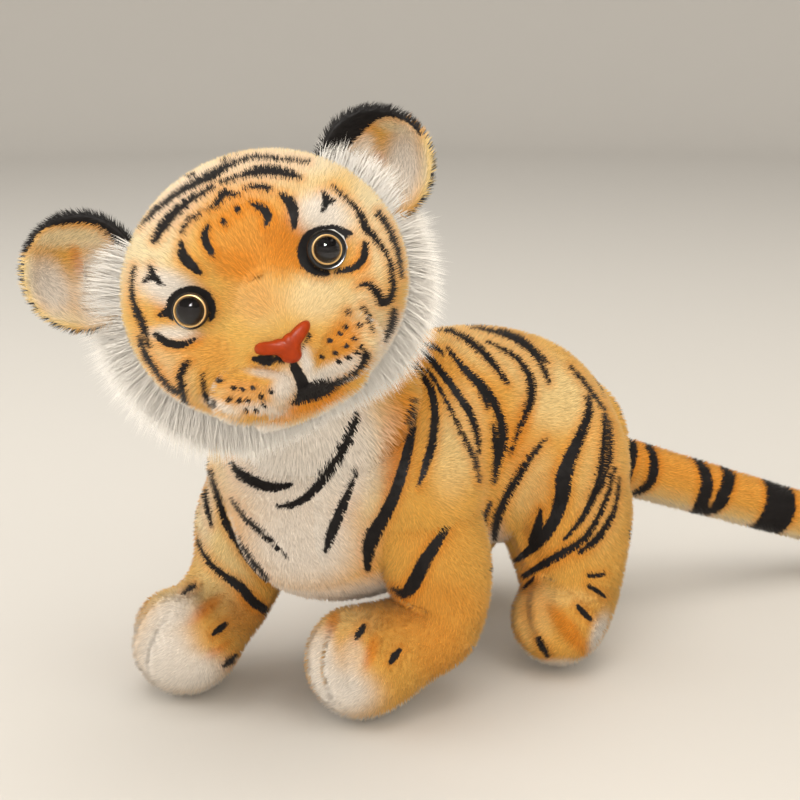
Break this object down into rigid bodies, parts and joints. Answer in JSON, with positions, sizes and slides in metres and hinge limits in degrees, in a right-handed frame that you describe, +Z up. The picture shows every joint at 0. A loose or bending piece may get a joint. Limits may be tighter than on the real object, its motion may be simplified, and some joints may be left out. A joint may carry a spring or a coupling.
{
  "type": "plush tiger",
  "caption": "Standing plush tiger cub with striped panels, long white cheek ruffs, moulded nose and eyes, and a head, ears, legs and tail that give at their seams.",
  "frame": {"origin": "on the surface that the toy stands on, below the middle of its bounding box", "axes": "+Z up, +Y towards the tail, so the body faces -Y; +X is the toy's left side"},
  "size_m": [0.1534, 0.431, 0.2488],
  "materials": {
    "orange_plush": "short plush pile",
    "cream_plush": "short plush pile",
    "stuffing": "loose fibre fill",
    "white_plush": "short plush pile",
    "black_plastic": "gloss",
    "gold_ring": "satin",
    "clear_plastic": "clear gloss",
    "washer_plastic": "plain",
    "nose_plastic": "satin",
    "black_plush": "short plush pile",
    "long_pile": "long soft pile"
  },
  "bodies": {
    "front_leg_left": {"front_leg_left_outer": "orange_plush", "front_leg_left_inner": "cream_plush", "front_leg_left_stuffing": "stuffing"},
    "front_leg_right": {"front_leg_right_outer": "orange_plush", "front_leg_right_inner": "cream_plush", "front_leg_right_stuffing": "stuffing"},
    "hind_leg_left": {"hind_leg_left_outer": "orange_plush", "hind_leg_left_inner": "cream_plush", "hind_leg_left_stuffing": "stuffing"},
    "hind_leg_right": {"hind_leg_right_outer": "orange_plush", "hind_leg_right_inner": "cream_plush", "hind_leg_right_stuffing": "stuffing"},
    "tail_base": {"tail_base_skin": "orange_plush", "tail_base_stuffing": "stuffing"},
    "tail_end": {"tail_end_skin": "orange_plush", "tail_end_stuffing": "stuffing"},
    "body": {"body_side_left": "orange_plush", "body_side_right": "orange_plush", "chest_belly_panel": "white_plush", "body_stuffing": "stuffing"},
    "neck": {"neck_sleeve": "cream_plush", "neck_stuffing": "stuffing"},
    "head": {"eye_cup_left": "black_plastic", "eye_ring_left": "gold_ring", "eye_pupil_left": "black_plastic", "eye_lens_left": "clear_plastic", "eye_washer_left": "washer_plastic", "eye_cup_right": "black_plastic", "eye_ring_right": "gold_ring", "eye_pupil_right": "black_plastic", "eye_lens_right": "clear_plastic", "eye_washer_right": "washer_plastic", "nose": "nose_plastic", "nose_washer": "washer_plastic", "whisker_pad_left": "white_plush", "whisker_pad_right": "white_plush", "chin_panel": "white_plush", "mouth_lining": "black_plush", "face_panel": "orange_plush", "head_back_panel": "cream_plush", "head_stuffing": "stuffing", "cheek_ruff_left": "long_pile", "cheek_ruff_right": "long_pile"},
    "ear_left": {"ear_back_left": "black_plush", "ear_lining_left": "white_plush"},
    "ear_right": {"ear_back_right": "black_plush", "ear_lining_right": "white_plush"}
  },
  "joints": [
    {"name": "neck_turn", "type": "hinge", "parent": "body", "child": "neck", "pos_m": [-0.00825, -0.10596, 0.124], "axis": [0.2483, -0.5586, 0.7914], "range_deg": [-15, 15], "stiffness_Nm_per_rad": 2.5},
    {"name": "head_nod", "type": "hinge", "parent": "neck", "child": "head", "pos_m": [-0.00179, -0.12048, 0.14458], "axis": [0.4383, 0.8046, 0.4006], "range_deg": [-10, 10], "stiffness_Nm_per_rad": 2.5},
    {"name": "ear_fold_left", "type": "hinge", "parent": "head", "child": "ear_left", "pos_m": [0.02061, -0.1094, 0.2144], "axis": [0.5435, 0.6755, -0.4984], "range_deg": [-20, 20], "stiffness_Nm_per_rad": 0.05},
    {"name": "ear_fold_right", "type": "hinge", "parent": "head", "child": "ear_right", "pos_m": [-0.0212, -0.18547, 0.17832], "axis": [-0.0332, 0.2613, 0.9647], "range_deg": [-20, 20], "stiffness_Nm_per_rad": 0.05},
    {"name": "shoulder_left", "type": "hinge", "parent": "body", "child": "front_leg_left", "pos_m": [0.01375, -0.07996, 0.086], "axis": [1, 0, 0], "range_deg": [-12, 12], "stiffness_Nm_per_rad": 3},
    {"name": "shoulder_right", "type": "hinge", "parent": "body", "child": "front_leg_right", "pos_m": [-0.03425, -0.10896, 0.086], "axis": [1, 0, 0], "range_deg": [-12, 12], "stiffness_Nm_per_rad": 3},
    {"name": "hip_left", "type": "hinge", "parent": "body", "child": "hind_leg_left", "pos_m": [0.01375, -0.00196, 0.078], "axis": [1, 0, 0], "range_deg": [-12, 12], "stiffness_Nm_per_rad": 3},
    {"name": "hip_right", "type": "hinge", "parent": "body", "child": "hind_leg_right", "pos_m": [-0.03425, -0.00196, 0.078], "axis": [1, 0, 0], "range_deg": [-12, 12], "stiffness_Nm_per_rad": 3},
    {"name": "tail_lift", "type": "hinge", "parent": "body", "child": "tail_base", "pos_m": [-0.01025, 0.05704, 0.066], "axis": [0.9092, -0.4163, 0], "range_deg": [-12, 18], "stiffness_Nm_per_rad": 0.5},
    {"name": "tail_bend", "type": "hinge", "parent": "tail_base", "child": "tail_end", "pos_m": [0.02439, 0.13269, 0.03735], "axis": [0.1355, 0.296, 0.9455], "range_deg": [-15, 15], "stiffness_Nm_per_rad": 0.2}
  ]
}
